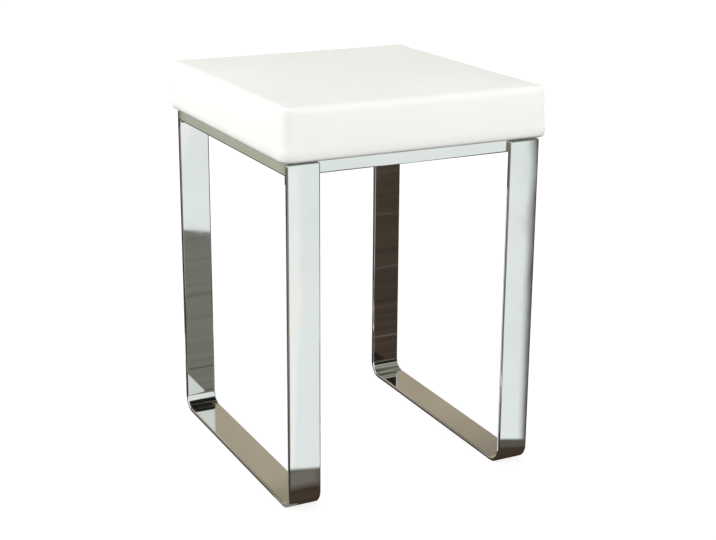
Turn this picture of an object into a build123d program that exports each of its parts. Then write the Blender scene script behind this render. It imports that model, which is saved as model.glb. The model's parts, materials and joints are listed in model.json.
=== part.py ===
from build123d import *
import os

# A low stool: two U-shaped legs of chromed flat bar, a ring of square tube welded between
# them, and an upholstered seat pad screwed to the ring from below.
# Millimetres. The origin is on the floor, at the middle of the stool. +X is to the sitter's
# right, -Y is the front, +Z is up.

# Driving dimensions

frame_width = 320.0
frame_depth = 340.0
rail_top_height = 410.0
pad_overhang = 8.0
pad_side_height = 59.4

# Flat bar of the legs
bar_width = 40.0
bar_thickness = 5.0
bend_radius_outside = 18.0
leg_top_below_rail = 2.0
bar_edge_chamfer = 0.8

# Square tube of the seat ring
tube_size = 16.0
tube_wall = 1.5
tube_corner_radius = 2.0
ring_inset_from_leg_edge = 1.0
vent_notch_diameter = 5.0
vent_notch_from_end = 4.5
vent_notch_rise = 1.0

# Weld beads between the legs and the ring
side_bead_width = 2.5
low_bead_size = 3.0
low_bead_end_margin = 3.0

# Corner plates of the ring
plate_leg = 52.0
plate_tip = 8.0
plate_thickness = 3.0
plate_hole_from_rail = 24.0
screw_clearance_diameter = 7.0

# Seat pad: cover, board and foam
cover_thickness = 1.2
board_thickness = 12.0
pad_corner_radius = 14.0
pad_top_edge_radius = 9.0
pad_bottom_edge_bevel = 2.0
pad_waist = 1.2
pad_waist_height = 6.0
pad_top_draw_in = 2.5
crown_height = 3.0
flap_width = 43.0
flap_slit_width = 0.8
flap_slit_from_edge = 5.0

# The flaps and the dust cover are punched this wide where a seat screw passes.
punched_hole_diameter = 8.0

# Dust cover
dust_cover_thickness = 0.6
dust_cover_inside_ring_edge = 3.0
dust_cover_corner_radius = 4.0

# Staples
staple_crown = 10.0
staple_wire_width = 1.0
staple_wire_thickness = 0.5
staple_length = 6.0
cover_staple_from_flap_edge = 4.0
cover_staple_pitch = 90.0
cover_staples_per_side = 3
dust_staple_inside_tube = 4.0
dust_staple_pitch = 80.0
dust_staples_per_side = 3

# Seat screws, washers and tee nuts
screw_diameter = 5.9
screw_length = 20.0
screw_head_diameter = 10.5
screw_head_height = 3.3
screw_socket_across_flats = 4.0
screw_socket_depth = 2.0
washer_hole_diameter = 6.4
washer_diameter = 12.5
washer_thickness = 1.6
tee_nut_bore = 6.0
tee_nut_barrel_diameter = 7.8
tee_nut_barrel_length = 9.0
tee_nut_flange_diameter = 19.0
tee_nut_flange_thickness = 1.2
tee_nut_prongs = 4
tee_nut_prong_width = 2.4
tee_nut_prong_thickness = 1.0
tee_nut_prong_length = 6.0
board_bore_diameter = 8.0

# Cuts run this far past the faces that they open
overrun = 5.0

# Levels and places that follow from the sizes above

half_width = frame_width / 2
half_depth = frame_depth / 2
leg_top = rail_top_height - leg_top_below_rail
rail_bottom = rail_top_height - tube_size

ring_half_x = half_width - ring_inset_from_leg_edge
ring_half_y = half_depth - bar_thickness
ring_inner_x = ring_half_x - tube_size
ring_inner_y = ring_half_y - tube_size

cover_bottom = rail_top_height + dust_cover_thickness
board_bottom = cover_bottom + cover_thickness
board_top = board_bottom + board_thickness
pad_edge_top = cover_bottom + pad_side_height

plate_top = rail_top_height - tube_corner_radius
plate_bottom = plate_top - plate_thickness
screw_x = ring_inner_x - plate_hole_from_rail
screw_y = ring_inner_y - plate_hole_from_rail
washer_bottom = plate_bottom - washer_thickness

pad_half_x = half_width + pad_overhang
pad_half_y = half_depth + pad_overhang
flap_edge_x = pad_half_x - flap_width
flap_edge_y = pad_half_y - flap_width

# The pad's corners are rounded about the corners of this core.
core_x = pad_half_x - pad_corner_radius
core_y = pad_half_y - pad_corner_radius

four_corners = [(1, 1), (-1, 1), (-1, -1), (1, -1)]


def leg():
    """One leg: flat bar bent to a U that stands on its middle, at the left of the stool."""
    inner_y = half_depth - bar_thickness
    outline = Polyline(
        (-half_depth, leg_top),
        (-half_depth, 0),
        (half_depth, 0),
        (half_depth, leg_top),
        (inner_y, leg_top),
        (inner_y, bar_thickness),
        (-inner_y, bar_thickness),
        (-inner_y, leg_top),
        close=True,
    )
    band = make_face(outline)
    corners = band.vertices().sort_by(Axis.Y)
    inside_corners = corners[2:4]
    band = fillet(inside_corners, bend_radius_outside - bar_thickness)
    outside_corners = band.vertices().sort_by(Axis.Y)[0:2]
    band = fillet(outside_corners, bend_radius_outside)
    bar = extrude(Plane.YZ * band, amount=bar_width)
    bar = Pos(-half_width, 0, 0) * bar
    sides = bar.faces().filter_by(Axis.X)
    tops = bar.faces().filter_by(Axis.Z).sort_by(Axis.Z)[-2:]
    edges = [edge for side in sides for edge in side.edges()]
    edges += [edge for top in tops for edge in top.edges().filter_by(Axis.X)]
    return chamfer(edges, bar_edge_chamfer)


def rail(half_length):
    """A mitred rail of square tube along X, its outer face on Y = 0, its body towards +Y."""
    outside = RectangleRounded(tube_size, tube_size, tube_corner_radius)
    inside_size = tube_size - 2 * tube_wall
    section = Plane.YZ * (outside - Rectangle(inside_size, inside_size))
    tube = extrude(section, amount=half_length, both=True)
    tube = Pos(0, tube_size / 2, rail_top_height - tube_size / 2) * tube
    mitre = Polygon(
        (-half_length, 0),
        (half_length, 0),
        (half_length - tube_size, tube_size),
        (-half_length + tube_size, tube_size),
        align=None,
    )
    blank = Pos(0, 0, rail_bottom) * extrude(mitre, amount=tube_size)
    return tube & blank


def cross_rail():
    """The rail between the two front legs, seen from the front."""
    return Pos(0, -ring_half_y, 0) * rail(ring_half_x)


def side_rail():
    """The rail at the left of the ring, with its vent notch low beside the back leg."""
    side = Pos(-ring_half_x, 0, 0) * Rot(0, 0, -90) * rail(ring_half_y)
    notch = Cylinder(vent_notch_diameter / 2, tube_wall + overrun, rotation=(0, 90, 0))
    notch_y = ring_half_y - vent_notch_from_end
    notch_x = -ring_half_x + (tube_wall - overrun) / 2
    return side - Pos(notch_x, notch_y, rail_bottom + vent_notch_rise) * notch


def weld_beads(rails):
    """Two beads at one leg end: up the rail's side, and under the rail across the bar."""
    side_bead = Polygon(
        (0, 0),
        (0, -side_bead_width),
        (-ring_inset_from_leg_edge, 0),
        align=None,
    )
    side_bead = extrude(side_bead, amount=leg_top - rail_bottom - low_bead_size)
    side_bead = Pos(-ring_half_x, ring_half_y, rail_bottom + low_bead_size) * side_bead
    low_bead = Polygon(
        (0, tube_corner_radius),
        (-low_bead_size, 0),
        (0, -low_bead_size),
        align=None,
    )
    low_bead = extrude(Plane.YZ * low_bead, amount=bar_width - 2 * low_bead_end_margin)
    low_bead = Pos(-half_width + low_bead_end_margin, ring_half_y, rail_bottom) * low_bead
    for neighbour in rails:
        side_bead = side_bead - neighbour
        low_bead = low_bead - neighbour
    return [side_bead, low_bead]


def corner_plate():
    """The plate in the ring's corner at +X and +Y, with its screw hole."""
    outline = Polygon(
        (0, 0),
        (-plate_leg, 0),
        (-plate_leg, -plate_tip),
        (-plate_tip, -plate_leg),
        (0, -plate_leg),
        align=None,
    )
    hole = Pos(-plate_hole_from_rail, -plate_hole_from_rail) * Circle(screw_clearance_diameter / 2)
    return Pos(ring_inner_x, ring_inner_y, plate_bottom) * extrude(outline - hole, amount=plate_thickness)


def pad_profile(inset, bottom):
    """The pad's outline from its corner's centre outwards, this far inside the cover's face."""
    low = pad_corner_radius - inset
    waist = low - pad_waist
    high = low - pad_top_draw_in
    top = pad_edge_top - inset
    points = [
        (0, bottom),
        (low, bottom),
        (low, board_top),
        (waist, board_top + pad_waist_height),
        (high, top),
        (0, top),
    ]
    outline = make_face(Polyline(*points, close=True))
    low_corner = outline.vertices().sort_by_distance((low, bottom, 0))[0]
    outline = chamfer(low_corner, pad_bottom_edge_bevel - inset / 2)
    high_corner = outline.vertices().sort_by_distance((high, top, 0))[0]
    return fillet(high_corner, pad_top_edge_radius - inset)


def pad_core(inset, bottom):
    """The pad's middle, between its corners' centres. Its top swells by the crown's height."""
    # The middle pole of this face lifts it by this share of the pole's own height.
    middle_pole_share = 0.25
    pole = crown_height / middle_pole_share
    poles = []
    for side_x in (-1, 0, 1):
        row = []
        for side_y in (-1, 0, 1):
            rise = pole if side_x == 0 and side_y == 0 else 0
            row.append(Vector(side_x * core_x, side_y * core_y, pad_edge_top - inset + rise))
        poles.append(row)
    depth = pad_side_height + crown_height + overrun
    prism = extrude(Face.make_bezier_surface(poles), amount=depth, dir=(0, 0, -1))
    return prism & slab(bottom, pad_edge_top + crown_height)


def pad_form(inset, bottom):
    """The pad's whole form, this far inside the face of its cover."""
    profile = pad_profile(inset, bottom)
    across = extrude(Plane.XZ * profile, amount=core_y, both=True)
    along = extrude(Plane.YZ * profile, amount=core_x, both=True)
    corner = revolve(Plane.XZ * profile, axis=Axis.Z, revolution_arc=90)
    pieces = [
        Pos(core_x, 0, 0) * across,
        Pos(-core_x, 0, 0) * Rot(0, 0, 180) * across,
        Pos(0, core_y, 0) * along,
        Pos(0, -core_y, 0) * Rot(0, 0, 180) * along,
    ]
    for number, (side_x, side_y) in enumerate(four_corners):
        pieces.append(Pos(side_x * core_x, side_y * core_y, 0) * Rot(0, 0, 90 * number) * corner)
    return pad_core(inset, bottom) + pieces


def slab(bottom, top):
    """A block wider than the pad between two levels."""
    size_x = 2 * (pad_half_x + overrun)
    size_y = 2 * (pad_half_y + overrun)
    return Pos(0, 0, (bottom + top) / 2) * Box(size_x, size_y, top - bottom)


def staple(crown_bottom):
    """One staple along X, its legs up into the board."""
    wire = Box(
        staple_crown,
        staple_wire_width,
        staple_wire_thickness,
        align=(Align.CENTER, Align.CENTER, Align.MIN),
    )
    for side in (-1, 1):
        leg_x = side * (staple_crown - staple_wire_thickness) / 2
        prong = Box(
            staple_wire_thickness,
            staple_wire_width,
            staple_length,
            align=(Align.CENTER, Align.CENTER, Align.MIN),
        )
        wire = wire + Pos(leg_x, 0, 0) * prong
    return Pos(0, 0, crown_bottom) * wire


def staple_rows(from_middle_x, from_middle_y, pitch, per_side, crown_bottom):
    """Staples along the four sides of the pad's underside."""
    one = staple(crown_bottom)
    row = []
    for number in range(per_side):
        along = (number - (per_side - 1) / 2) * pitch
        for side in (-1, 1):
            row.append(Pos(along, side * from_middle_y, 0) * one)
            row.append(Pos(side * from_middle_x, along, 0) * Rot(0, 0, 90) * one)
    return row


def at_screws(piece):
    """Copies of a piece at the four seat screws."""
    return [Pos(side_x * screw_x, side_y * screw_y, 0) * piece for side_x, side_y in four_corners]


def seat_washer():
    """A plain washer under a screw's head."""
    ring = Circle(washer_diameter / 2) - Circle(washer_hole_diameter / 2)
    return Pos(0, 0, washer_bottom) * extrude(ring, amount=washer_thickness)


def seat_screw():
    """A low-head screw with a hex socket, from below."""
    head = Cylinder(
        screw_head_diameter / 2,
        screw_head_height,
        align=(Align.CENTER, Align.CENTER, Align.MAX),
    )
    socket = RegularPolygon(screw_socket_across_flats / 2, 6, major_radius=False)
    socket = Pos(0, 0, -screw_head_height) * extrude(socket, amount=screw_socket_depth)
    shank = Cylinder(screw_diameter / 2, screw_length, align=(Align.CENTER, Align.CENTER, Align.MIN))
    return Pos(0, 0, washer_bottom) * (head - socket + shank)


def tee_nut():
    """A tee nut with its flange flush in the board's top and its prongs down into the wood."""
    flange = Cylinder(
        tee_nut_flange_diameter / 2,
        tee_nut_flange_thickness,
        align=(Align.CENTER, Align.CENTER, Align.MAX),
    )
    barrel = Cylinder(
        tee_nut_barrel_diameter / 2,
        tee_nut_barrel_length,
        align=(Align.CENTER, Align.CENTER, Align.MAX),
    )
    nut = flange + barrel
    prong = Polygon(
        (-tee_nut_prong_width / 2, 0),
        (0, -tee_nut_prong_length),
        (tee_nut_prong_width / 2, 0),
        align=None,
    )
    prong = extrude(Plane.XZ * prong, amount=tee_nut_prong_thickness)
    prong = Pos(0, tee_nut_flange_diameter / 2 - tee_nut_prong_thickness, -tee_nut_flange_thickness) * prong
    for number in range(tee_nut_prongs):
        nut = nut + Rot(0, 0, 360 / tee_nut_prongs * number) * prong
    bore = Cylinder(tee_nut_bore / 2, 2 * tee_nut_barrel_length + overrun)
    return Pos(0, 0, board_top) * (nut - bore)


def seat_board(nuts, staples):
    """The plywood board, bored for the tee nuts and pierced by the staples."""
    board = pad_form(cover_thickness, board_bottom) & slab(board_bottom - overrun, board_top)
    bore = Pos(0, 0, board_bottom + board_thickness / 2) * Cylinder(
        board_bore_diameter / 2,
        board_thickness + 2 * overrun,
    )
    return board - (at_screws(bore) + nuts + staples)


def foam_pad():
    """The foam, from the board's top to the inside of the cover."""
    top = pad_edge_top + crown_height + overrun
    return pad_form(cover_thickness, board_bottom) & slab(board_top, top)


def seat_cover(staples):
    """The cover: a skin round foam and board, turned in under the board as four flaps."""
    cover = pad_form(0, cover_bottom) - pad_form(cover_thickness, board_bottom)
    opening = Box(2 * flap_edge_x, 2 * flap_edge_y, 2 * overrun)
    cover = cover - Pos(0, 0, board_bottom - overrun) * opening
    hole = Pos(0, 0, cover_bottom) * Cylinder(punched_hole_diameter / 2, overrun)
    cuts = at_screws(hole) + staples
    slit_length = (flap_width - flap_slit_from_edge) * 2**0.5
    slit = Pos(-overrun, 0, 0) * Box(
        overrun + slit_length,
        flap_slit_width,
        cover_thickness,
        align=(Align.MIN, Align.CENTER, Align.MIN),
    )
    for number, (side_x, side_y) in enumerate(four_corners):
        place = Pos(side_x * flap_edge_x, side_y * flap_edge_y, cover_bottom)
        cuts.append(place * Rot(0, 0, 45 + 90 * number) * slit)
    return cover - cuts


def dust_cover(staples):
    """The thin sheet under the board that hides the flaps' edges."""
    sheet = RectangleRounded(
        2 * (ring_half_x - dust_cover_inside_ring_edge),
        2 * (ring_half_y - dust_cover_inside_ring_edge),
        dust_cover_corner_radius,
    )
    hole = Circle(punched_hole_diameter / 2)
    for side_x, side_y in four_corners:
        sheet = sheet - Pos(side_x * screw_x, side_y * screw_y) * hole
    sheet = Pos(0, 0, rail_top_height) * extrude(sheet, amount=dust_cover_thickness)
    return sheet - staples


def write(node, piece):
    """Writes one sub-part. A list of separate solids becomes one group."""
    if isinstance(piece, list):
        piece = Compound(children=[Part(solid.wrapped) for part in piece for solid in part.solids()])
    export_step(piece, os.path.join("parts", node + ".step"))


os.makedirs("parts", exist_ok=True)

left_leg = leg()
front_rail = cross_rail()
back_rail = mirror(front_rail, about=Plane.XZ)
left_rail = side_rail()
right_rail = mirror(left_rail, about=Plane.YZ)

back_left_beads = weld_beads([left_rail, back_rail])
front_left_beads = [mirror(bead, about=Plane.XZ) for bead in back_left_beads]
left_beads = back_left_beads + front_left_beads
leg_welds = left_beads + [mirror(bead, about=Plane.YZ) for bead in left_beads]

plate = corner_plate()
plates = []
for side_x, side_y in four_corners:
    turned = plate if side_x > 0 else mirror(plate, about=Plane.YZ)
    plates.append(turned if side_y > 0 else mirror(turned, about=Plane.XZ))

cover_staples = staple_rows(
    flap_edge_x + cover_staple_from_flap_edge,
    flap_edge_y + cover_staple_from_flap_edge,
    cover_staple_pitch,
    cover_staples_per_side,
    cover_bottom,
)
dust_cover_staples = staple_rows(
    ring_inner_x - dust_staple_inside_tube,
    ring_inner_y - dust_staple_inside_tube,
    dust_staple_pitch,
    dust_staples_per_side,
    rail_top_height - staple_wire_thickness,
)
tee_nuts = at_screws(tee_nut())

write("left_leg", left_leg)
write("right_leg", mirror(left_leg, about=Plane.YZ))
write("front_rail", front_rail)
write("back_rail", back_rail)
write("left_rail", left_rail)
write("right_rail", right_rail)
write("leg_welds", leg_welds)
write("corner_plates", plates)
write("seat_board", seat_board(tee_nuts, cover_staples + dust_cover_staples))
write("tee_nuts", tee_nuts)
write("foam_pad", foam_pad())
write("seat_cover", seat_cover(cover_staples + dust_cover_staples))
write("cover_staples", cover_staples)
write("dust_cover", dust_cover(dust_cover_staples))
write("dust_cover_staples", dust_cover_staples)
write("seat_washers", at_screws(seat_washer()))
write("seat_screws", at_screws(seat_screw()))
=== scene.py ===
import json
import math

import bpy
import numpy as np
from mathutils import Matrix, Vector, noise

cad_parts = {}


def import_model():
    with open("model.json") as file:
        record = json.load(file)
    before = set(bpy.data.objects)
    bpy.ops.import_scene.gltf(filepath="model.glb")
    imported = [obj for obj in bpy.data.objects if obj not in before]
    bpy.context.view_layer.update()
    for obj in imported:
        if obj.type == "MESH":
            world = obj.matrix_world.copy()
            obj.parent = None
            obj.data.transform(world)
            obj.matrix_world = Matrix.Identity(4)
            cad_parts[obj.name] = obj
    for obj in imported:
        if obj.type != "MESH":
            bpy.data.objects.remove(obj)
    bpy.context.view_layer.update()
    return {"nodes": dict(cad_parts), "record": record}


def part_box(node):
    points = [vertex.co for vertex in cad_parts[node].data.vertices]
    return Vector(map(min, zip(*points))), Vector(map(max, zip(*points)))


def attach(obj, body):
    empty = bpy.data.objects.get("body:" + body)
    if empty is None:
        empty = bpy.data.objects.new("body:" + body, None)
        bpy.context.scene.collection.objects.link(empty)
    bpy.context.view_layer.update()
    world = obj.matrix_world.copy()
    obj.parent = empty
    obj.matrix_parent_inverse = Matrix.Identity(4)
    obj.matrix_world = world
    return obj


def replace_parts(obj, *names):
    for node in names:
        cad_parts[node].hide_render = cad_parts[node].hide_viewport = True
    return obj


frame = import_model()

# The dressing of a low stool: a white padded seat on a mirror-chromed frame of flat bar and
# square tube. Metres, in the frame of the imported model: the origin on the floor, -Y the front.

MM = 0.001
QUARTER_TURN = math.radians(90)

# Sizes of the pieces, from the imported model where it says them

leg_low, leg_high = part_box("left_leg")
bar_width = leg_high.x - leg_low.x
half_width = -leg_low.x
half_depth = leg_high.y
leg_top = leg_high.z
bar_thickness = 5 * MM
bend_radius = 21 * MM
bar_edge_radius = 1.9 * MM

pad_low, pad_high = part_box("seat_cover")
pad_half_x = pad_high.x
pad_half_y = pad_high.y
board_low, board_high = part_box("seat_board")
crown_height = 3 * MM
pad_edge_top = pad_high.z - crown_height
pad_corner_radius = 14 * MM
pad_top_edge_radius = 9 * MM
pad_corner_edge_radius = 4.5 * MM
pad_least_edge_radius = 1 * MM
pad_bottom_edge_reach = 2.8 * MM
pad_bottom_edge_rise = 6.5 * MM
pad_draw_in = 2.5 * MM
pad_side_waist = 0.3 * MM
pad_corner_waist = 1.2 * MM
pad_waist_height = 6 * MM
flap_width = 43 * MM
cover_thickness = 1.2 * MM
# The height, up from the pad's lower edge, over which shade is painted into the cover's colour.
painted_shade_height = 14 * MM

screw_x = 119 * MM
screw_y = 125 * MM
dust_hole_radius = 4 * MM
dust_grid_step = 4 * MM
dust_sag = 1.2 * MM
dust_ripple = 0.4 * MM
dust_ripple_length = 28 * MM


def mesh_object(name, vertices, faces, material):
    """A smooth-shaded mesh object that rides on the stool's one body."""
    mesh = bpy.data.meshes.new(name)
    mesh.from_pydata([tuple(v) for v in vertices], [], faces)
    mesh.validate()
    mesh.polygons.foreach_set("use_smooth", [True] * len(mesh.polygons))
    mesh.update()
    piece = bpy.data.objects.new(name, mesh)
    bpy.context.scene.collection.objects.link(piece)
    mesh.materials.append(material)
    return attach(piece, "root")


# Materials


class Nodes:
    """Short hand for building a node tree. An underscore stands for a blank in a socket's name."""

    def __init__(self, tree):
        self.tree = tree

    def add(self, kind, **values):
        """A new node. Each value goes to the socket of its name, or else to the node's setting."""
        node = self.tree.nodes.new("ShaderNode" + kind)
        for key, value in values.items():
            socket = key.replace("_", " ")
            if socket in node.inputs:
                node.inputs[socket].default_value = value
            else:
                setattr(node, key, value)
        return node

    def link(self, source, target):
        self.tree.links.new(source, target)

    def position(self):
        return self.add("TexCoord").outputs["Object"]

    def stretched(self, scale, place=None):
        """The object's coordinates, or the place given, scaled by axis."""
        mapping = self.add("Mapping", Scale=scale)
        self.link(place or self.position(), mapping.inputs["Vector"])
        return mapping.outputs["Vector"]

    def noise(self, scale, vector=None, detail=3.0):
        node = self.add("TexNoise", Scale=scale, Detail=detail)
        self.link(vector or self.position(), node.inputs["Vector"])
        return node.outputs["Fac"]

    def height(self, vector):
        """The third part of a vector."""
        parts = self.add("SeparateXYZ")
        self.link(vector, parts.inputs["Vector"])
        return parts.outputs["Z"]

    def spread(self, value, low, high, start=0.3, end=0.7):
        """A value of start to end, spread from low to high."""
        node = self.add("MapRange", From_Min=start, From_Max=end, To_Min=low, To_Max=high)
        self.link(value, node.inputs["Value"])
        return node.outputs["Result"]

    def ramp(self, value, *stops):
        """A colour ramp. Each stop is a place and a colour."""
        node = self.add("ValToRGB")
        elements = node.color_ramp.elements
        while len(elements) < len(stops):
            elements.new(0.5)
        for element, (place, colour) in zip(elements, stops):
            element.position = place
            element.color = (*colour, 1)
        self.link(value, node.inputs["Fac"])
        return node.outputs["Color"]

    def bump(self, height, distance, strength=1.0, normal=None):
        node = self.add("Bump", Strength=strength, Distance=distance)
        self.link(height, node.inputs["Height"])
        if normal:
            self.link(normal, node.inputs["Normal"])
        return node.outputs["Normal"]


class Surface(Nodes):
    """A material of one principled shader, whose sockets are set or fed by name."""

    def __init__(self, name):
        self.material = bpy.data.materials.new(name)
        self.material.use_nodes = True
        super().__init__(self.material.node_tree)
        self.shader = self.tree.nodes["Principled BSDF"]

    def set(self, **values):
        for key, value in values.items():
            self.shader.inputs[key.replace("_", " ")].default_value = value

    def feed(self, **sources):
        for key, source in sources.items():
            self.link(source, self.shader.inputs[key.replace("_", " ")])


def chrome():
    """Mirror chrome: a faint waviness of the plated steel, and hazier patches."""
    n = Surface("mirror_chrome")
    n.set(Metallic=1.0)
    colour = n.ramp(n.noise(9), (0.3, (0.80, 0.815, 0.81)), (0.7, (0.84, 0.85, 0.85)))
    waves = n.bump(n.noise(16, detail=1.0), 0.12 * MM)
    peel = n.bump(n.noise(420, detail=2.0), 0.0006 * MM, normal=waves)
    n.feed(Base_Color=colour, Roughness=n.spread(n.noise(60), 0.03, 0.06), Normal=peel)
    return n.material


def white_leather():
    """White coated upholstery with a fine grain. Shade is painted into its colour: dark along the fold
    at its lower edge, and a little darker over the lowest part of its sides.
    """
    n = Surface("white_upholstery")
    colour = n.ramp(n.noise(14), (0.3, (0.875, 0.88, 0.842)), (0.7, (0.9, 0.905, 0.87)))
    cells = n.add("TexVoronoi", Scale=850.0, feature="DISTANCE_TO_EDGE")
    n.link(n.position(), cells.inputs["Vector"])
    grain = n.bump(cells.outputs["Distance"], 0.05 * MM, strength=0.35)
    soft = n.bump(n.noise(90, detail=2.0), 0.05 * MM, strength=0.5, normal=grain)
    # Painted shade: the colour is darkest in the fold where the cover turns under, and lightens up the
    # lowest part of the sides.
    unshaded, deepest_painted_shade = (1.0, 1.0, 1.0), (0.42, 0.42, 0.4)
    painted_fold_shade = n.ramp(
        n.spread(n.height(n.position()), 0, 1, pad_low.z, pad_low.z + painted_shade_height),
        (0.0, unshaded),
        (0.017, deepest_painted_shade),
        (0.094, (0.6, 0.6, 0.58)),
        (0.214, (0.89, 0.89, 0.885)),
        (0.5, (0.945, 0.945, 0.945)),
        (1.0, unshaded),
    )
    both = n.add("Mix", data_type="RGBA", blend_type="MULTIPLY")
    both.inputs["Factor"].default_value = 1.0
    n.link(colour, both.inputs["A"])
    n.link(painted_fold_shade, both.inputs["B"])
    n.set(Specular_IOR_Level=0.3)
    roughness = n.spread(n.noise(35), 0.42, 0.52)
    n.feed(Base_Color=both.outputs["Result"], Roughness=roughness, Normal=soft)
    return n.material


def plywood():
    """Birch plywood: plies stacked in height, grain along X."""
    n = Surface("birch_plywood")
    grain = n.noise(12, n.stretched((1.0, 14.0, 90.0)), detail=6.0)
    colour = n.ramp(
        grain,
        (0.3, (0.50, 0.34, 0.19)),
        (0.5, (0.66, 0.49, 0.31)),
        (0.7, (0.74, 0.58, 0.40)),
    )
    n.feed(Base_Color=colour, Roughness=n.spread(grain, 0.55, 0.75), Normal=n.bump(grain, 0.1 * MM))
    return n.material


def foam():
    """Yellowish open-cell foam."""
    n = Surface("foam")
    pores = n.add("TexVoronoi", Scale=700.0)
    n.link(n.position(), pores.inputs["Vector"])
    distance = pores.outputs["Distance"]
    colour = n.ramp(distance, (0.1, (0.70, 0.64, 0.42)), (0.6, (0.90, 0.86, 0.67)))
    n.set(Roughness=0.95)
    n.feed(Base_Color=colour, Normal=n.bump(distance, 0.3 * MM))
    return n.material


def zinc():
    """Bright zinc plate, a little brushed and cloudy."""
    n = Surface("zinc_plate")
    n.set(Metallic=1.0)
    cloud = n.noise(160, detail=5.0)
    colour = n.ramp(cloud, (0.3, (0.52, 0.54, 0.56)), (0.7, (0.70, 0.71, 0.71)))
    n.feed(Base_Color=colour, Roughness=n.spread(cloud, 0.28, 0.45), Normal=n.bump(cloud, 0.02 * MM))
    return n.material


def black_cloth():
    """Thin black non-woven cloth, point-bonded in a square pattern."""
    n = Surface("black_nonwoven")
    fibres = n.noise(900, n.stretched((1.0, 0.35, 1.0)), detail=6.0)
    dots = n.add("TexVoronoi", Scale=650.0, Randomness=0.0)
    n.link(n.position(), dots.inputs["Vector"])
    colour = n.ramp(fibres, (0.3, (0.02, 0.02, 0.019)), (0.7, (0.06, 0.06, 0.055)))
    embossed = n.bump(dots.outputs["Distance"], 0.08 * MM)
    n.set(Roughness=0.9)
    n.feed(Base_Color=colour, Normal=n.bump(fibres, 0.05 * MM, normal=embossed))
    return n.material


materials = {
    "chrome": chrome(),
    "white_leather": white_leather(),
    "plywood": plywood(),
    "foam": foam(),
    "zinc_steel": zinc(),
    "black_cloth": black_cloth(),
}

for subpart in frame["record"]["subparts"]:
    node = frame["nodes"][subpart["node"]]
    node.data.materials.clear()
    node.data.materials.append(materials[subpart["material_slot"]])


# Legs: flat bar with rounded edges, swept along a U


def bar_section(steps=5):
    """The bar's section as (across, outward) points with their normals, round its four edges."""
    half_across = bar_width / 2 - bar_edge_radius
    half_through = bar_thickness / 2 - bar_edge_radius
    points = []
    for corner, (side_a, side_b) in enumerate([(1, 1), (-1, 1), (-1, -1), (1, -1)]):
        for step in range(steps + 1):
            angle = QUARTER_TURN * (corner + step / steps)
            a, b = math.cos(angle), math.sin(angle)
            place = (
                side_a * half_across + bar_edge_radius * a,
                side_b * half_through + bar_edge_radius * b,
            )
            points.append((place, (a, b)))
    return points


def u_path(bend_steps=24, straight_steps=12):
    """Stations down the front leg, along the runner and up the back leg: (y, z), outward."""
    middle_y = half_depth - bar_thickness / 2
    centre_radius = bend_radius - bar_thickness / 2
    bend_y = half_depth - bend_radius
    end = leg_top - bar_edge_radius
    stations = []
    for step in range(straight_steps):
        z = end + (bend_radius - end) * step / straight_steps
        stations.append(((-middle_y, z), (-1.0, 0.0)))
    for turns, centre_y in ((2, -bend_y), (3, bend_y)):
        for step in range(bend_steps + 1):
            angle = QUARTER_TURN * (turns + step / bend_steps)
            out = (math.cos(angle), math.sin(angle))
            y = centre_y + centre_radius * out[0]
            z = bend_radius + centre_radius * out[1]
            stations.append(((y, z), out))
    for step in range(1, straight_steps + 1):
        z = bend_radius + (end - bend_radius) * step / straight_steps
        stations.append(((middle_y, z), (1.0, 0.0)))
    return stations


def leg(name, node, side):
    """One U-shaped leg. Its ends are rounded over as its edges are."""
    section = bar_section()
    count = len(section)
    centre_x = side * (half_width - bar_width / 2)
    vertices = []
    normals = []

    def ring(place, out, lift=0.0):
        """One turn of the section. Near an end its normals lift, and it shrinks and rises."""
        y, z = place
        shrink = bar_edge_radius * (1 - math.cos(lift))
        scale_a = 1 - shrink / (bar_width / 2)
        scale_b = 1 - shrink / (bar_thickness / 2)
        rise = bar_edge_radius * math.sin(lift)
        for (a, b), (na, nb) in section:
            vertices.append((
                centre_x + a * scale_a,
                y + out[0] * b * scale_b,
                z + out[1] * b * scale_b + rise,
            ))
            level = math.cos(lift)
            normals.append((na * level, out[0] * nb * level, out[1] * nb * level + math.sin(lift)))

    stations = u_path()
    end_steps = 4
    lifts = [QUARTER_TURN * step / end_steps for step in range(end_steps, 0, -1)]
    for lift in lifts:
        ring(*stations[0], lift)
    for station in stations:
        ring(*station)
    for lift in reversed(lifts):
        ring(*stations[-1], lift)

    faces = []
    rings = len(vertices) // count
    for number in range(rings - 1):
        for k in range(count):
            low, high = number * count, (number + 1) * count
            following = (k + 1) % count
            faces.append((low + k, low + following, high + following, high + k))
    faces.append(tuple(reversed(range(count))))
    faces.append(tuple((rings - 1) * count + k for k in range(count)))
    piece = mesh_object(name, vertices, faces, materials["chrome"])
    piece.data.normals_split_custom_set_from_vertices(normals)
    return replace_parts(piece, node)


leg("left_leg_bar", "left_leg", -1)
leg("right_leg_bar", "right_leg", 1)


# Seat pad


def smooth(value, low, high):
    """0 below low, 1 above high, and an easy curve between."""
    share = min(max((value - low) / (high - low), 0), 1)
    return share * share * (3 - 2 * share)


def spaced(half, corner_zone=22 * MM, corner_steps=16, middle_steps=56):
    """Places from -1 to 1 along a side, closer together near its two corners."""
    zone = corner_zone / half
    near = [-1 + zone * step / corner_steps for step in range(corner_steps)]
    middle = [(zone - 1) * (1 - 2 * step / middle_steps) for step in range(middle_steps)]
    return near + middle + [1 - zone] + [-place for place in reversed(near)]


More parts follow.
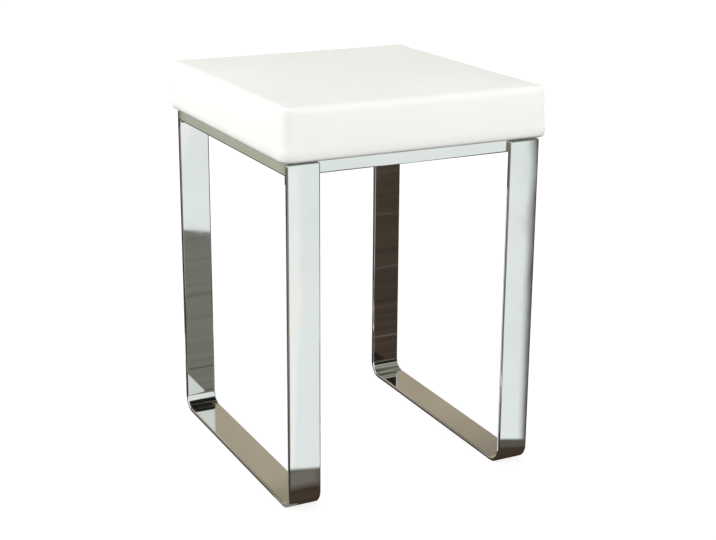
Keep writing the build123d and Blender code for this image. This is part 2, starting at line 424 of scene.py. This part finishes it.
def in_plan(u, v, inset):
    """The point of the pad's plan at (u, v), each from -1 to 1, with the outline drawn in."""
    ring = max(abs(u), abs(v))
    half_x = (pad_half_x - inset) * ring
    half_y = (pad_half_y - inset) * ring
    radius = max(pad_corner_radius - inset, 0) * ring
    x = u * (pad_half_x - inset)
    y = v * (pad_half_y - inset)
    core_x = min(max(x, radius - half_x), half_x - radius)
    core_y = min(max(y, radius - half_y), half_y - radius)
    away = math.hypot(x - core_x, y - core_y)
    if away == 0:
        return x, y
    return core_x + (x - core_x) / away * radius, core_y + (y - core_y) / away * radius


def cornerness(u, v):
    """0 along a side's middle, 1 at a corner."""
    corner_start = 0.82
    ring = max(abs(u), abs(v))
    return smooth(min(abs(u), abs(v)) / ring, corner_start, 1.0) if ring else 0


def top_edge_radius(u, v, inside):
    """The foam's edge is soft along the sides and pulled tight at the corners. A face further
    inside has a smaller radius."""
    tightness = cornerness(u, v)
    radius = pad_top_edge_radius + (pad_corner_edge_radius - pad_top_edge_radius) * tightness
    return max(radius - inside, pad_least_edge_radius)


def side_inset(z, corner):
    """How far the side is drawn in: above the board, most at the corners, and at the top."""
    waist_start = board_high.z - 4 * MM
    waist_z = board_high.z + pad_waist_height
    roundness = 1.4
    waist = pad_side_waist + (pad_corner_waist - pad_side_waist) * corner
    if z < waist_z:
        return waist * smooth(z, waist_start, waist_z)
    share = (z - waist_z) / (pad_edge_top - waist_z)
    return waist + (pad_draw_in - waist) * share ** roundness


def pucker(x, y, z):
    """The cover is drawn in unevenly between its staples, near its lower edge."""
    depth = 0.25 * MM
    spacing = 17 * MM
    full_below = pad_low.z + 4 * MM
    none_above = board_high.z + 16 * MM
    unevenness = noise.noise(Vector((x, y, 0)) / spacing)
    return depth * unevenness * (1 - smooth(z, full_below, none_above))


def corner_crease(u, v, x, y, z):
    """Short creases that run down from the top corners. Each has its angle round the corner, the
    angle that it gains per metre down, its depth and its length."""
    creases = (
        (0.42, 9, 0.45 * MM, 17 * MM),
        (0.95, -6, 0.3 * MM, 24 * MM),
        (1.3, 3, 0.2 * MM, 12 * MM),
    )
    half_angle = 0.13
    run_in = 3 * MM
    least_cornerness = 0.2
    if cornerness(u, v) < least_cornerness:
        return 0
    turn = math.atan2(abs(y) - pad_half_y + pad_corner_radius, abs(x) - pad_half_x + pad_corner_radius)
    drop = pad_edge_top - z
    depth = 0
    for angle, lean, deepest, length in creases:
        near = math.exp(-((turn - angle - lean * drop) / half_angle) ** 2)
        depth += deepest * near * (1 - smooth(drop, run_in, length)) * smooth(drop, 0, run_in)
    return depth


def corner_fold(x, y):
    """How far the turned-in cover is doubled at a corner, where one flap lies over the next."""
    doubling = 0.45 * MM
    lap = (-1.5 * MM, 0)
    lap_end = (8 * MM, 10 * MM)
    rim = (2 * MM, 4 * MM)
    rim_end = (8 * MM, 11 * MM)
    from_edge = min(pad_half_x - abs(x), pad_half_y - abs(y))
    across = (pad_half_y - abs(y)) - (pad_half_x - abs(x))
    overlap = smooth(across, *lap) * (1 - smooth(across, *lap_end))
    return doubling * overlap * smooth(from_edge, *rim) * (1 - smooth(from_edge, *rim_end))


def pad_sheet(inside, lowest, flaps):
    """The cover's outer face, or a face this far inside it, down to its lowest level.

    With flaps it turns in under the board. Returns vertices, faces and the last row's indexes.
    """
    crown_fullness = 0.8
    edge_steps = 8
    side_steps = 18
    turn_steps = 8
    flap_shares = (0.06, 0.15, 0.3, 0.5, 0.75, 1.0)
    places = spaced(pad_half_x)
    last = len(places) - 1
    top = pad_edge_top - inside
    side_low = lowest + (pad_bottom_edge_rise if flaps else 0)
    vertices = []
    faces = []
    index = {}
    for i, u in enumerate(places):
        for j, v in enumerate(places):
            radius = top_edge_radius(u, v, inside)
            x, y = in_plan(u, v, inside + side_inset(top - radius, cornerness(u, v)) + radius)
            swell = ((1 - u * u) * (1 - v * v)) ** crown_fullness
            index[i, j] = len(vertices)
            vertices.append((x, y, top + crown_height * swell))
    for i in range(last):
        for j in range(last):
            faces.append((index[i, j], index[i + 1, j], index[i + 1, j + 1], index[i, j + 1]))
    around = [(i, 0) for i in range(last)]
    around += [(last, j) for j in range(last)]
    around += [(i, last) for i in range(last, 0, -1)]
    around += [(0, j) for j in range(last, 0, -1)]
    above = [index[key] for key in around]

    def row(level):
        """One more row all round: level gives the inset and the height at a point's (u, v)."""
        nonlocal above
        below = []
        for i, j in around:
            u, v = places[i], places[j]
            inset, z = level(u, v)
            x, y = in_plan(u, v, inset)
            if not inside:
                x, y = in_plan(u, v, inset + pucker(x, y, z) + corner_crease(u, v, x, y, z))
                z -= corner_fold(x, y) if z == lowest else 0
            below.append(len(vertices))
            vertices.append((x, y, z))
        for k in range(len(below)):
            following = (k + 1) % len(below)
            faces.append((above[k], below[k], below[following], above[following]))
        above = below

    def on_edge(u, v, angle):
        """A level on the rounded top edge, this far round it."""
        radius = top_edge_radius(u, v, inside)
        inset = inside + side_inset(top - radius, cornerness(u, v)) + radius * (1 - math.sin(angle))
        return inset, top - radius * (1 - math.cos(angle))

    def on_side(u, v, share):
        """A level on the side, this share of the way down."""
        radius = top_edge_radius(u, v, inside)
        z = top - radius + (side_low - top + radius) * share
        return inside + side_inset(z, cornerness(u, v)), z

    for step in range(1, edge_steps + 1):
        row(lambda u, v: on_edge(u, v, QUARTER_TURN * step / edge_steps))
    for step in range(1, side_steps + 1):
        row(lambda u, v: on_side(u, v, step / side_steps))
    if flaps:
        for step in range(1, turn_steps + 1):
            angle = QUARTER_TURN * step / turn_steps
            inset = pad_bottom_edge_reach * (1 - math.cos(angle))
            z = lowest + pad_bottom_edge_rise * (1 - math.sin(angle))
            row(lambda u, v: (inset, z))
        for share in flap_shares:
            inset = pad_bottom_edge_reach + (flap_width - pad_bottom_edge_reach) * share
            row(lambda u, v: (inset, lowest))
    return vertices, faces, above


def cloth_moved(piece, pinned, most):
    """Moves a closed mesh as a short cloth simulation under pressure does, no point by more than
    the most given. Each pinned point has a share by which it is held."""
    mesh = piece.data
    rest = np.empty(len(mesh.vertices) * 3, dtype=np.float32)
    mesh.vertices.foreach_get("co", rest)
    rest = rest.reshape(-1, 3).astype(float)
    group = piece.vertex_groups.new(name="pinned")
    for number, share in pinned.items():
        group.add([number], share, "REPLACE")
    cloth = piece.modifiers.new("cover", "CLOTH")
    settings = cloth.settings
    settings.quality = 6
    settings.mass = 0.4
    settings.tension_stiffness = 30
    settings.compression_stiffness = 30
    settings.shear_stiffness = 15
    settings.bending_stiffness = 2
    settings.use_pressure = True
    settings.uniform_pressure_force = 4
    settings.vertex_group_mass = group.name
    settings.effector_weights.gravity = 0
    cloth.collision_settings.use_collision = False
    scene = bpy.context.scene
    last_frame = 20
    for number in range(1, last_frame + 1):
        scene.frame_set(number)
    settled = piece.evaluated_get(bpy.context.evaluated_depsgraph_get())
    moved = np.empty(len(rest) * 3, dtype=np.float32)
    settled.data.vertices.foreach_get("co", moved)
    scene.frame_set(1)
    piece.modifiers.remove(cloth)
    piece.vertex_groups.remove(group)
    step = moved.reshape(-1, 3) - rest
    step *= most / max(np.linalg.norm(step, axis=1).max(), most)
    mesh.vertices.foreach_set("co", (rest + step).astype(np.float32).ravel())
    mesh.update()


def thickened(piece, rim, thickness):
    """Gives an open sheet a thickness, inwards, and closes its rim."""
    mesh = piece.data
    outer = [v.co.copy() for v in mesh.vertices]
    inner = [v.co - v.normal * thickness for v in mesh.vertices]
    faces = [tuple(face.vertices) for face in mesh.polygons]
    count = len(outer)
    faces += [tuple(count + k for k in reversed(face)) for face in faces]
    for k in range(len(rim)):
        a, b = rim[k], rim[(k + 1) % len(rim)]
        faces.append((a, count + a, count + b, b))
    mesh.clear_geometry()
    mesh.from_pydata(outer + inner, [], faces)
    mesh.polygons.foreach_set("use_smooth", [True] * len(mesh.polygons))
    mesh.update()


def seat_cushion():
    """The upholstered cover, tight over its foam, with its flaps turned under the board."""
    most_swelling = 1.2 * MM
    free_above = board_high.z + 8 * MM
    vertices, faces, rim = pad_sheet(0, pad_low.z, True)
    closing = tuple(reversed(rim))
    pad = mesh_object("seat_cushion", vertices, faces + [closing], materials["white_leather"])
    held = {}
    for v in pad.data.vertices:
        held[v.index] = 1 - smooth(v.co.z, board_low.z, free_above)
    cloth_moved(pad, held, most_swelling)
    settled = [v.co.copy() for v in pad.data.vertices]
    pad.data.clear_geometry()
    pad.data.from_pydata(settled, [], faces)
    pad.data.update()
    thickened(pad, rim, cover_thickness)
    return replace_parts(pad, "seat_cover")


def foam_block():
    """The foam between the cover and the board."""
    clearance = 1.3 * MM
    over_board = 0.1 * MM
    vertices, faces, rim = pad_sheet(cover_thickness + clearance, board_high.z + over_board, False)
    closing = tuple(reversed(rim))
    block = mesh_object("foam_block", vertices, faces + [closing], materials["foam"])
    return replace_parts(block, "foam_pad")


seat_cushion()
foam_block()


# Dust cloth


def dust_lines(half, hole):
    """Grid lines along one side of the cloth, with lines at each hole's edges and middle."""
    radius = dust_hole_radius
    stops = [-half, -hole - radius, -hole, -hole + radius, hole - radius, hole, hole + radius, half]
    places = [stops[0]]
    for start, end in zip(stops, stops[1:]):
        count = max(round((end - start) / dust_grid_step), 1)
        places += [start + (end - start) * k / count for k in range(1, count + 1)]
    return places


def dust_cloth():
    """The thin black cloth under the board. It sags a little between its staples, and has a
    hole round each seat screw."""
    rounding_reach = 1.5 * dust_hole_radius
    sag_fullness = 0.7
    low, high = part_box("dust_cover")
    staples_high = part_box("dust_cover_staples")[1]
    vertices = []
    across, along = dust_lines(high.x, screw_x), dust_lines(high.y, screw_y)
    for x in across:
        for y in along:
            from_hole = Vector((abs(x) - screw_x, abs(y) - screw_y))
            if 0 < from_hole.length < rounding_reach:
                from_hole *= dust_hole_radius / from_hole.length
            place_x = math.copysign(screw_x + from_hole.x, x)
            place_y = math.copysign(screw_y + from_hole.y, y)
            u = min(abs(x) / staples_high.x, 1)
            v = min(abs(y) / staples_high.y, 1)
            free = ((1 - u * u) * (1 - v * v)) ** sag_fullness
            ripple = dust_ripple * noise.noise(Vector((x, y, 0)) / dust_ripple_length)
            vertices.append((place_x, place_y, low.z - (dust_sag + ripple) * free))
    faces = []
    for i in range(len(across) - 1):
        for j in range(len(along) - 1):
            beside_x = abs(abs(across[i] + across[i + 1]) / 2 - screw_x) < dust_hole_radius
            beside_y = abs(abs(along[j] + along[j + 1]) / 2 - screw_y) < dust_hole_radius
            if not (beside_x and beside_y):
                first = i * len(along) + j
                faces.append((first, first + 1, first + len(along) + 1, first + len(along)))
    cloth = mesh_object("dust_cloth", vertices, faces, materials["black_cloth"])
    solidify = cloth.modifiers.new("thickness", "SOLIDIFY")
    solidify.thickness = high.z - low.z
    solidify.offset = -1
    thick = bpy.data.meshes.new_from_object(cloth.evaluated_get(bpy.context.evaluated_depsgraph_get()))
    cloth.modifiers.remove(solidify)
    cloth.data = thick
    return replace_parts(cloth, "dust_cover")


dust_cloth()


# Studio


def empty_material(name):
    """A new material, short hand for its emptied tree, and its surface socket."""
    material = bpy.data.materials.new(name)
    material.use_nodes = True
    n = Nodes(material.node_tree)
    n.tree.nodes.clear()
    return material, n, n.add("OutputMaterial").inputs["Surface"]


def paper(name, colour, grain):
    """Paper that shines by itself, so that chrome shows it as it is. Its edge may be soft. Grain
    is the two strengths that its streaks lie between, and their scale by axis."""
    material, n, surface = empty_material(name)
    shine = n.add("Emission", Color=(*colour, 1))
    clear = n.add("BsdfTransparent")
    mix = n.add("MixShader")
    edge = n.add("Attribute", attribute_name="cover")
    n.link(edge.outputs["Fac"], mix.inputs["Fac"])
    n.link(clear.outputs["BSDF"], mix.inputs[1])
    n.link(shine.outputs["Emission"], mix.inputs[2])
    n.link(mix.outputs["Shader"], surface)
    if grain:
        dark, light, scale = grain
        place = n.stretched(scale, n.add("NewGeometry").outputs["Position"])
        streaks = n.spread(n.noise(1.0, place, detail=4.0), dark, light)
        n.link(streaks, shine.inputs["Strength"])
    return material


def card(name, corners, colour, fade, grain):
    """A flat card that only the chrome sees. Its edge fades out over the given width."""
    sharpest = 0.3
    count = len(corners)
    outer = [Vector(corner) for corner in corners]
    normal = (outer[1] - outer[0]).cross(outer[2] - outer[1]).normalized()
    inner = []
    for k, corner in enumerate(outer):
        before = (corner - outer[k - 1]).normalized().cross(normal)
        after = (outer[(k + 1) % count] - corner).normalized().cross(normal)
        inner.append(corner - (before + after) * fade / max(1 + before.dot(after), sharpest))
    faces = [tuple(range(count, 2 * count))]
    faces += [(k, (k + 1) % count, count + (k + 1) % count, count + k) for k in range(count)]
    mesh = bpy.data.meshes.new(name)
    mesh.from_pydata(outer + inner, [], faces if fade else [tuple(range(count))])
    cover = mesh.attributes.new("cover", "FLOAT", "POINT")
    cover.data.foreach_set("value", [0.0 if fade else 1.0] * count + [1.0] * count)
    mesh.materials.append(paper(name, colour, grain))
    piece = bpy.data.objects.new(name, mesh)
    bpy.context.scene.collection.objects.link(piece)
    piece.visible_camera = False
    piece.visible_diffuse = False
    piece.visible_shadow = False
    piece.visible_transmission = False


def flat_card(name, plan, height, colour, fade=0.0, grain=None):
    """A card that lies this high over the floor. Its plan runs counterclockwise."""
    card(name, [(x, y, height) for x, y in plan], colour, fade, grain)


def upright_card(name, left, right, y, low, high, colour, fade=0.0, grain=None):
    """A card that stands before or behind the stool."""
    corners = [(left, y, low), (right, y, low), (right, y, high), (left, y, high)]
    card(name, corners, colour, fade, grain)


def rectangle(left, right, front, back):
    """A plan of four corners."""
    return [(left, front), (right, front), (right, back), (left, back)]


def seen_directly(n, value):
    """The value for camera, glossy and transmission rays, and nothing for the rest."""
    path = n.add("LightPath")
    first = n.add("Math", operation="MAXIMUM")
    n.link(path.outputs["Is Camera Ray"], first.inputs[0])
    n.link(path.outputs["Is Glossy Ray"], first.inputs[1])
    second = n.add("Math", operation="MAXIMUM")
    n.link(first.outputs["Value"], second.inputs[0])
    n.link(path.outputs["Is Transmission Ray"], second.inputs[1])
    scaled = n.add("Math", operation="MULTIPLY")
    scaled.inputs[1].default_value = value
    n.link(second.outputs["Value"], scaled.inputs[0])
    return scaled.outputs["Value"]


def floor():
    """A pale floor that reads as white, and keeps the stool's shadow."""
    half_size = 8.0
    grey = 0.25
    strength = 0.8
    material, n, surface = empty_material("floor")
    matt = n.add("BsdfDiffuse", Color=(grey, grey, grey, 1))
    glow = n.add("Emission")
    together = n.add("AddShader")
    n.link(seen_directly(n, strength), glow.inputs["Strength"])
    n.link(matt.outputs["BSDF"], together.inputs[0])
    n.link(glow.outputs["Emission"], together.inputs[1])
    n.link(together.outputs["Shader"], surface)
    mesh = bpy.data.meshes.new("floor")
    plan = rectangle(-half_size, half_size, -half_size, half_size)
    mesh.from_pydata([(x, y, 0) for x, y in plan], [], [(0, 1, 2, 3)])
    mesh.materials.append(material)
    piece = bpy.data.objects.new("floor", mesh)
    bpy.context.scene.collection.objects.link(piece)


def world():
    """White where it is seen. What it lights gets more from the sides than from above, as in a
    white room, so that every upright face is as bright as a level one."""
    sides, zenith = 1.75, 0.5
    sides_below, zenith_above = 0.3, 0.9
    sky = bpy.data.worlds.new("studio")
    bpy.context.scene.world = sky
    sky.use_nodes = True
    n = Nodes(sky.node_tree)
    background = n.tree.nodes["Background"]
    background.inputs["Color"].default_value = (1, 1, 1, 1)
    height = n.height(n.add("TexCoord").outputs["Generated"])
    white = n.add("Mix")
    white.inputs["B"].default_value = 1.0
    n.link(seen_directly(n, 1.0), white.inputs["Factor"])
    n.link(n.spread(height, sides, zenith, sides_below, zenith_above), white.inputs["A"])
    n.link(white.outputs["Result"], background.inputs["Strength"])


def lamp(name, place, size, power, target=(0, 0, 0.3)):
    """A soft square lamp that faces the stool."""
    data = bpy.data.lights.new(name, "AREA")
    data.shape = "SQUARE"
    data.size = size
    data.energy = power
    piece = bpy.data.objects.new(name, data)
    bpy.context.scene.collection.objects.link(piece)
    piece.location = place
    away = Vector(place) - Vector(target)
    piece.rotation_euler = away.to_track_quat("Z", "Y").to_euler()
    piece.visible_glossy = False


floor()
world()
lamp("key_lamp", (-2.5, 0.9, 1.1), 1.6, 27)
lamp("front_lamp", (1.5, -2.3, 0.9), 1.4, 11)

# Cards, which give the chrome its light and dark zones, as the studio did. Colours are linear.

LIGHT_PAPER = (0.87, 0.92, 0.905)
BRIGHT_PAPER = (1.0, 1.0, 0.98)
MARGIN_GREY = (0.50, 0.53, 0.51)
MIDDLE_GREY = (0.27, 0.26, 0.22)
WOOD = (0.06, 0.043, 0.032)
WOOD_SHEEN = (0.19, 0.19, 0.162)
NEAR_SHEEN = (0.18, 0.165, 0.14)
FOOT_SHADE = (0.11, 0.10, 0.08)
BOARD_JOINT = (0.13, 0.105, 0.085)
SHEEN_JOINT = (0.11, 0.11, 0.095)
OLIVE = (0.475, 0.475, 0.385)
TAUPE = (0.43, 0.37, 0.28)
SHADED_TAUPE = (0.36, 0.305, 0.235)
DARK_OLIVE = (0.17, 0.16, 0.11)
GREY_OLIVE = (0.2, 0.2, 0.165)
ROOM_WHITE = (0.83, 0.885, 0.84)
ROOM_DARK = (0.04, 0.04, 0.03)
ROOM_BLACK = (0.02, 0.016, 0.012)

ALONG_X = (1.5, 45.0, 1.0)
ALONG_Y = (160.0, 1.0, 1.0)
CLOUDS = (3.0, 3.0, 3.0)
BEAMS = (0.1, 1.0, 1.0)

# The floor round the stool: wood in boards along X, and papers on it, each on the last

card_step = 1 * MM
floor_front = -3.0
floor_half_width = 2.4
back_wall_y = 2.6

flat_card(
    "wood_floor",
    rectangle(-floor_half_width, floor_half_width, floor_front, back_wall_y),
    card_step,
    WOOD,
    grain=(0.7, 1.3, ALONG_X),
)
flat_card("olive_floor", [
    (-0.950, 1.625),
    (-0.854, 1.407),
    (-0.825, 1.341),
    (-0.797, 1.278),
    (-0.780, 1.240),
    (-0.780, 1.925),
    (-0.797, 1.976),
    (-0.825, 2.055),
    (-0.854, 2.137),
    (-0.950, 2.410),
], 2 * card_step, OLIVE, grain=(0.92, 1.08, ALONG_Y))
flat_card("right_side_paper", [
    (0.090, -0.145),
    (0.116, -0.130),
    (-0.610, 0.985),
    (-0.640, 0.965),
], 3 * card_step, LIGHT_PAPER, fade=4 * MM)
flat_card("left_side_paper", [
    (-0.176, -0.175),
    (-0.142, -0.165),
    (-0.660, 0.985),
    (-0.690, 0.985),
], 2 * card_step, MIDDLE_GREY, fade=4 * MM)
flat_card("near_sheen", [
    (-0.16, -0.275),
    (-0.06, -0.275),
    (-0.09, -0.215),
    (-0.16, -0.215),
], 2 * card_step, NEAR_SHEEN, fade=18 * MM)
flat_card("wood_sheen", [
    (0.101, -0.70),
    (0.225, -0.70),
    (-0.085, 0.125),
    (-0.165, 0.125),
], 2 * card_step, WOOD_SHEEN, fade=8 * MM, grain=(0.85, 1.15, ALONG_X))

half_joint = 5 * MM
for number, joint_y in enumerate((0.04, -0.265, -0.58, -0.89)):
    for kind, left, right, colour in (
        ("board_joint", 0.16, 2.0, BOARD_JOINT),
        ("sheen_joint", -0.3, 0.15, SHEEN_JOINT),
    ):
        plan = rectangle(left, right, joint_y - half_joint, joint_y + half_joint)
        flat_card(f"{kind}_{number}", plan, 3 * card_step, colour, fade=3 * MM)

flat_card("left_foreground", [
    (-floor_half_width, floor_front),
    (-0.1, floor_front),
    (-0.15, -0.28),
    (-floor_half_width, -0.28),
], 2 * card_step, MIDDLE_GREY, fade=20 * MM)
flat_card("light_margin", [
    (0.9, floor_front),
    (2.092, floor_front),
    (0.186, -0.209),
    (0.146, -0.226),
    (0.180, -0.420),
], 4 * card_step, MARGIN_GREY, fade=9 * MM)
flat_card("light_foreground", [
    (-0.30, floor_front),
    (2.070, floor_front),
    (0.494, -0.672),
    (0.183, -0.209),
    (0.146, -0.226),
    (0.235, -0.400),
    (0.200, -0.573),
    (0.113, -0.644),
    (0.045, -0.480),
    (-0.045, -0.240),
    (-0.180, -0.279),
    (-0.104, -0.340),
    (0.480, -1.660),
], 5 * card_step, LIGHT_PAPER, fade=9 * MM, grain=(0.97, 1.03, CLOUDS))
flat_card("bright_margin", [
    (-0.130, -0.262),
    (-0.110, -0.262),
    (0.155, -0.820),
    (0.535, -1.660),
    (0.490, -1.660),
    (-0.090, -0.330),
], 6 * card_step, BRIGHT_PAPER, fade=8 * MM)
flat_card("foot_shade", [
    (0.134, -0.239),
    (0.203, -0.207),
    (0.190, -0.178),
    (0.121, -0.210),
], 7 * card_step, FOOT_SHADE, fade=8 * MM)

# The room behind, before and above the stool

room_left = -2.8
room_right = 6.0
front_wall_y = -3.2
room_height = 4.2
wall_step = 10 * MM
room_step = 50 * MM
beams_left = 1.4
beam_grain = (0.05, 2.8, BEAMS)
wall_grain = (0.94, 1.06, CLOUDS)
wall_height = 2.4

upright_card("taupe_wall", -2.5, 3.5, back_wall_y, 0, wall_height, TAUPE, grain=wall_grain)
upright_card(
    "shaded_wall",
    1.45, 4.0, back_wall_y - wall_step, 1.28, wall_height,
    SHADED_TAUPE,
    fade=0.12,
    grain=wall_grain,
)
upright_card(
    "dark_wall",
    room_left, room_right, back_wall_y - 2 * wall_step, 1.42, room_height,
    DARK_OLIVE,
    fade=0.22,
)
upright_card("room_front", -1.5, 1.5, front_wall_y, 0, room_height, ROOM_WHITE, fade=0.1)
upright_card(
    "beams_front",
    beams_left, room_right, front_wall_y + room_step, 0, room_height,
    GREY_OLIVE,
    fade=0.1,
    grain=beam_grain,
)
upright_card(
    "dark_front",
    beams_left, room_right, front_wall_y + 2 * room_step, 0, 1.9,
    ROOM_BLACK,
    fade=0.1,
)
flat_card(
    "beams_above",
    rectangle(room_left, room_right, front_wall_y, back_wall_y),
    room_height,
    GREY_OLIVE,
    grain=beam_grain,
)
flat_card(
    "dark_above",
    rectangle(room_left, 2.4, front_wall_y, back_wall_y),
    room_height - room_step,
    ROOM_DARK,
    fade=0.4,
)


# Camera, fitted to the photograph's edges in a frame of 716 by 540 pixels

IMAGE_WIDTH = 716
IMAGE_HEIGHT = 540
focal_length_px = 1401.4
principal_point_y = 242
camera_place = Vector((-0.7442, -1.4922, 0.7552))
camera_yaw = -26.86
camera_pitch = -16.62
camera_roll = 0.36

camera_data = bpy.data.cameras.new("camera")
camera_data.sensor_width = 36.0
camera_data.lens = camera_data.sensor_width * focal_length_px / IMAGE_WIDTH
camera_data.shift_y = (principal_point_y - IMAGE_HEIGHT / 2) / IMAGE_WIDTH
camera = bpy.data.objects.new("camera", camera_data)
bpy.context.scene.collection.objects.link(camera)
camera.matrix_world = (
    Matrix.Translation(camera_place)
    @ Matrix.Rotation(math.radians(camera_yaw), 4, "Z")
    @ Matrix.Rotation(math.radians(90 + camera_pitch), 4, "X")
    @ Matrix.Rotation(math.radians(camera_roll), 4, "Z")
)
bpy.context.scene.camera = camera
bpy.context.scene.view_settings.view_transform = "Standard"
